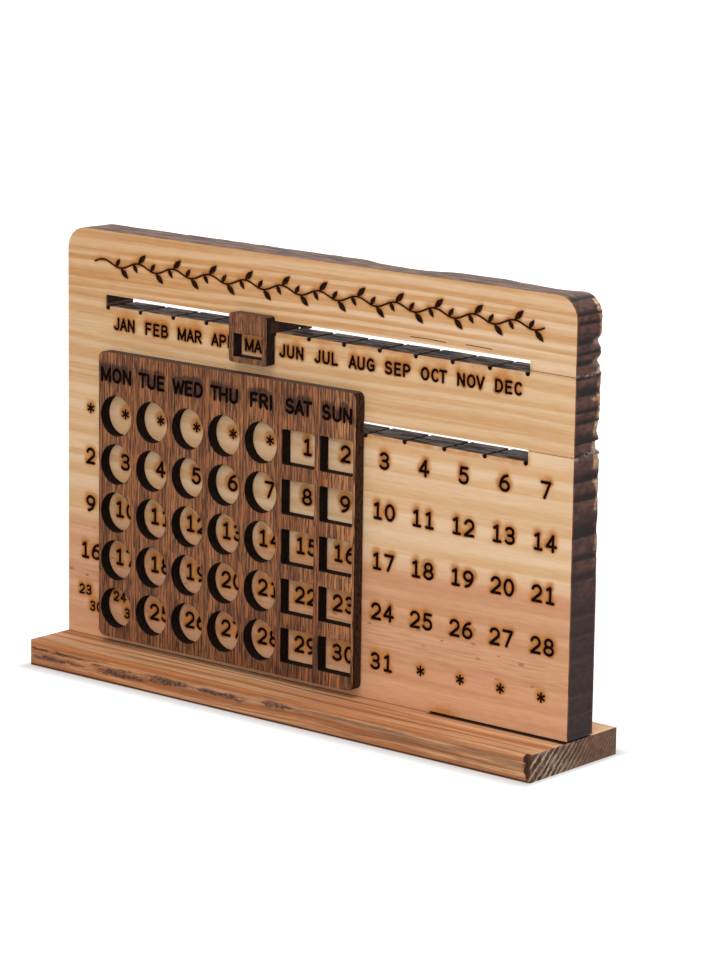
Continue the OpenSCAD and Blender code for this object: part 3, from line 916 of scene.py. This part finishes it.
def charred_walnut(name):
    """Laser-cut walnut edge: sooty black in the windows, browner outside, and a painted highlight along
    the plate's top.
    """
    finish = Finish(name, 0.03)
    grit = finish.cloud((2.5, 1.2, 2.5), 5, 3)
    char = finish.mix(grit.rise(0.35, 0.7), (0.005, 0.004, 0.0035), (0.015, 0.008, 0.006))
    outer = finish.x.rise(plate_high[0] - 1.5, plate_high[0] - 0.5)
    char = char.mix(outer * grit.rise(0.3, 0.6), (0.058, 0.026, 0.015))
    # Lighter along the plate's top face: a painted highlight.
    painted_top_sheen = finish.z.rise(plate_high[2] - 0.6, plate_high[2] - 0.2)
    char = char.mix(painted_top_sheen * 0.9, (0.085, 0.055, 0.044))
    return finish.dress(char, grit * 0.3 + 0.5, grit, 0.12)


plate_columns = plate_x + centred(len(weekdays), date_pitch)
plate_windows = []
for day, x in enumerate(plate_columns):
    for week in range(weeks):
        middle = np.array([x, first_row - week * row_pitch])
        if day < round_days:
            away = resample(along_arc(middle, window_w / 2, 0, 360)[:-1], 1.0)[0] - middle
            window = middle + away * (window_w / 2) / np.linalg.norm(away, axis=1)[:, None]
        else:
            half = np.array([window_w, window_h]) / 2
            window = resample(rounded(middle - half, middle + half, window_r), 1.5)[0]
        plate_windows.append(window[::-1])

plate_names = []
for x, text in zip(plate_columns, weekdays):
    plate_names += lettering(text, (x, weekday_z), name_h, name_stroke, gap=name_gap, stretch=name_stretch)

plate_box = plate_low[[0, 2]], plate_high[[0, 2]]
plate_ring = resample(rounded(*plate_box, plate_corner), 1.2)[0]
plate_pockets = []
for node in ("date_hook_left", "date_hook_right"):
    hook_low, hook_high = box_mm(node)
    pocket_high = np.array([hook_high[0], hook_high[2]]) + glue_gap
    pocket_low = np.array([hook_low[0], hook_high[2] - pocket_h]) - glue_gap
    plate_pockets.append(np.array([pocket_low, (pocket_high[0], pocket_low[1]), pocket_high,
                                   (pocket_low[0], pocket_high[1])]))
plate_smoke = soot_map(plate_names, *plate_box, 1.3, 1.0)
plate_singe = soot_map([*plate_windows, plate_ring], *plate_box, 0.5, 0)
plate_grid = triangle_grid(*plate_box, fine_step)
plate_grid = plate_grid[plate_smoke(plate_grid) + plate_singe(plate_grid) > least_plate_soot]
plate_rings = [plate_ring, *plate_windows]
plate_depths = plate_t * np.linspace(0, 1, 4)
plate_shifts = [np.zeros((len(plate_depths), len(ring))) for ring in plate_rings]
plate, points, _ = board("windowed_plate", plate_rings, plate_shifts, plate_depths, plate_front,
                         plate_names, plate_pockets, pocket_d, plate_grid, plate_grid[:0])
flat = points[:, :2]
smoke = np.where(points[:, 2] < front_depth, plate_smoke(flat), 0)
carry(plate, "scorch", smoke + 0.35 * plate_singe(flat))
for finish in (walnut_face("walnut_face"), charred_walnut("walnut_edge"), burned):
    plate.data.materials.append(finish)
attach(plate, "date_slider")
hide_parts("date_plate")


# Month pointer.
# A small walnut frame cut from the same board as the date plate. It shows one month, and a hook is glued
# flush into each of its sides.


def pointer_walnut():
    """Walnut on the front and back, and char on every cut edge, told apart by the way a face looks."""
    finish = Finish("pointer_walnut", 0.06)
    cloud = finish.cloud
    pointer_top = box_mm("month_pointer")[1, 2]
    fibre = cloud((0.8, 0.8, 24), 49, 4)
    pore = cloud((0.55, 0.55, 6), 59, 1).rise(0.51, 0.59)
    wood = finish.mix(cloud((6, 6, 90), 43).rise(0.3, 0.7), (0.21, 0.082, 0.038), (0.30, 0.124, 0.06))
    wood = wood.mix(fibre.rise(0.43, 0.6) * 0.8, (0.095, 0.040, 0.022))
    wood = wood.mix(pore * 0.85, (0.036, 0.024, 0.022))
    grit = cloud((2.5, 1.2, 2.5), 5, 3)
    char = finish.mix(grit.rise(0.35, 0.7), (0.010, 0.007, 0.006), (0.028, 0.015, 0.010))
    # Lighter char along the pointer's top: a painted highlight.
    char = char.mix(finish.z.rise(pointer_top - 0.6, pointer_top - 0.2) * 0.9, (0.11, 0.055, 0.036))
    flat = finish.facing[1].math("ABSOLUTE").rise(0.6, 0.9)
    return finish.dress(finish.mix(flat, char, wood), fibre * 0.2 + 0.5, fibre, 0.09)


finish_node("month_pointer", pointer_walnut())


# Hooks.
# Four flat walnut hooks, laser cut and browned all over. Each is glued by its root into the back of a
# sliding piece, passes through a slot and drops its tail behind the panel.


def hook_walnut():
    """Walnut browned by the laser, with its grain along the arm and soot in patches."""
    finish = Finish("browned_hook_walnut", 0.06)
    fibre = finish.cloud((0.7, 12, 0.7), 3, 4)
    soot = finish.cloud((3, 4, 3), 13, 3)
    wood = finish.mix(fibre.rise(0.35, 0.7), (0.085, 0.034, 0.018), (0.045, 0.021, 0.014))
    wood = wood.mix(soot.rise(0.42, 0.62) * 0.8, (0.022, 0.013, 0.011))
    return finish.dress(wood, fibre * 0.2 + 0.5, fibre, 0.09)


hook_finish = hook_walnut()
for node in ("date_hook_left", "date_hook_right", "month_hook_left", "month_hook_right"):
    finish_node(node, hook_finish)


# Floor.
# A plain white table top that catches the object's soft shadow.

floor_half = 15.0


def directly_seen(tree):
    """1 for rays that show a surface, straight, mirrored or through glass, and 0 for those that light."""
    path = tree.nodes.new("ShaderNodeLightPath")
    seen = path.outputs["Is Camera Ray"]
    for ray in ("Is Glossy Ray", "Is Transmission Ray"):
        either = tree.nodes.new("ShaderNodeMath")
        either.operation = "MAXIMUM"
        tree.links.new(seen, either.inputs[0])
        tree.links.new(path.outputs[ray], either.inputs[1])
        seen = either.outputs[0]
    return seen


def white_floor():
    """Matt white, with light of its own for the camera's rays that grows outwards, to stay white further
    out. Close round the plank there is less of it, so the floor greys there: painted shade at its foot,
    added to the real shadow.
    """
    finish = Finish("white_floor")
    x, y, inputs = finish.x, finish.y, finish.shader.inputs
    plank_half_x, plank_half_y = 145, 31.5
    finish.put(inputs["Base Color"], (0.5, 0.5, 0.5))
    finish.put(inputs["Roughness"], 0.9)
    finish.put(inputs["Emission Color"], (1, 1, 1))
    seen = Field(finish, directly_seen(finish.tree))
    outwards = (x * x + y * y).math("SQRT").rise(200, 3000)
    # Less glow close round the plank: painted shade at its foot.
    beside_x = (x.math("ABSOLUTE") - plank_half_x) * 2
    beside_y = y.math("ABSOLUTE") - plank_half_y
    clear = beside_x.math("MAXIMUM", beside_y).rise(0, 12)
    finish.put(inputs["Emission Strength"], seen * (outwards * 0.4 + clear * 0.45 + 0.28))
    return finish.material


floor_mesh = bpy.data.meshes.new("floor")
floor_mesh.from_pydata([(-floor_half, -floor_half, 0), (floor_half, -floor_half, 0),
                        (floor_half, floor_half, 0), (-floor_half, floor_half, 0)], [], [(0, 1, 2, 3)])
floor_mesh.materials.append(white_floor())
floor = add_object("floor", floor_mesh)


# Light.
# An even white room, and broad soft lamps above, in front, to the front right and behind.

scene = bpy.context.scene
scene.view_settings.view_transform = "Standard"
room_light, white_shown = 0.28, 1.0
world = bpy.data.worlds.new("white_room")
world.use_nodes = True
scene.world = world
room = world.node_tree
background = room.nodes["Background"]
background.inputs["Color"].default_value = (1, 1, 1, 1)
strength = room.nodes.new("ShaderNodeMapRange")
strength.inputs["To Min"].default_value = room_light
strength.inputs["To Max"].default_value = white_shown
room.links.new(directly_seen(room), strength.inputs[0])
room.links.new(strength.outputs[0], background.inputs["Strength"])


def set_up(name, data, across, upward, backward, place):
    """Put a lamp or a camera at a place in metres, its own axes along three directions."""
    holder = add_object(name, data)
    stance = np.eye(4)
    stance[:3] = np.column_stack([across, upward, backward, place])
    holder.matrix_world = Matrix(stance.tolist())
    return holder


def soft_lamp(name, place, aim, size, power):
    """A square lamp at a place, turned to face a point."""
    lamp = bpy.data.lights.new(name, "AREA")
    lamp.size = size
    lamp.energy = power
    away = np.array(place) - np.array(aim)
    away /= np.linalg.norm(away)
    across = np.cross((0, 0, 1), away)
    across /= np.linalg.norm(across)
    set_up(name, lamp, across, np.cross(away, across), away, place)


soft_lamp("key_lamp", (0.3, -1.45, 1.7), (0, 0, 0.08), 1.0, 8)
soft_lamp("top_lamp", (0.1, -0.5, 2.0), (0, 0, 0.05), 1.0, 14.3)
soft_lamp("front_lamp", (0.95, -1.55, 0.55), (0, 0, 0.1), 1.3, 20.6)
soft_lamp("back_lamp", (0.2, 1.8, 0.9), (0, 0, 0.08), 1.6, 28)


# Camera.
# A long lens to the right of the object and a little above it.

camera_place = np.array([1103.2, -1302.9, 464.9])
camera_turn, camera_dip, camera_roll = np.radians([39.591, 11.94, 0.804])
forward = np.array([-math.sin(camera_turn) * math.cos(camera_dip),
                    math.cos(camera_turn) * math.cos(camera_dip), -math.sin(camera_dip)])
level = np.array([math.cos(camera_turn), math.sin(camera_turn), 0])
upright = np.cross(level, forward)
picture_right = math.cos(camera_roll) * level + math.sin(camera_roll) * upright
picture_up = math.cos(camera_roll) * upright - math.sin(camera_roll) * level
lens = bpy.data.cameras.new("camera")
lens.sensor_fit = "VERTICAL"
lens.sensor_height = 36
lens.lens = 148.63
scene.camera = set_up("camera", lens, picture_right, picture_up, -forward, camera_place * MM)
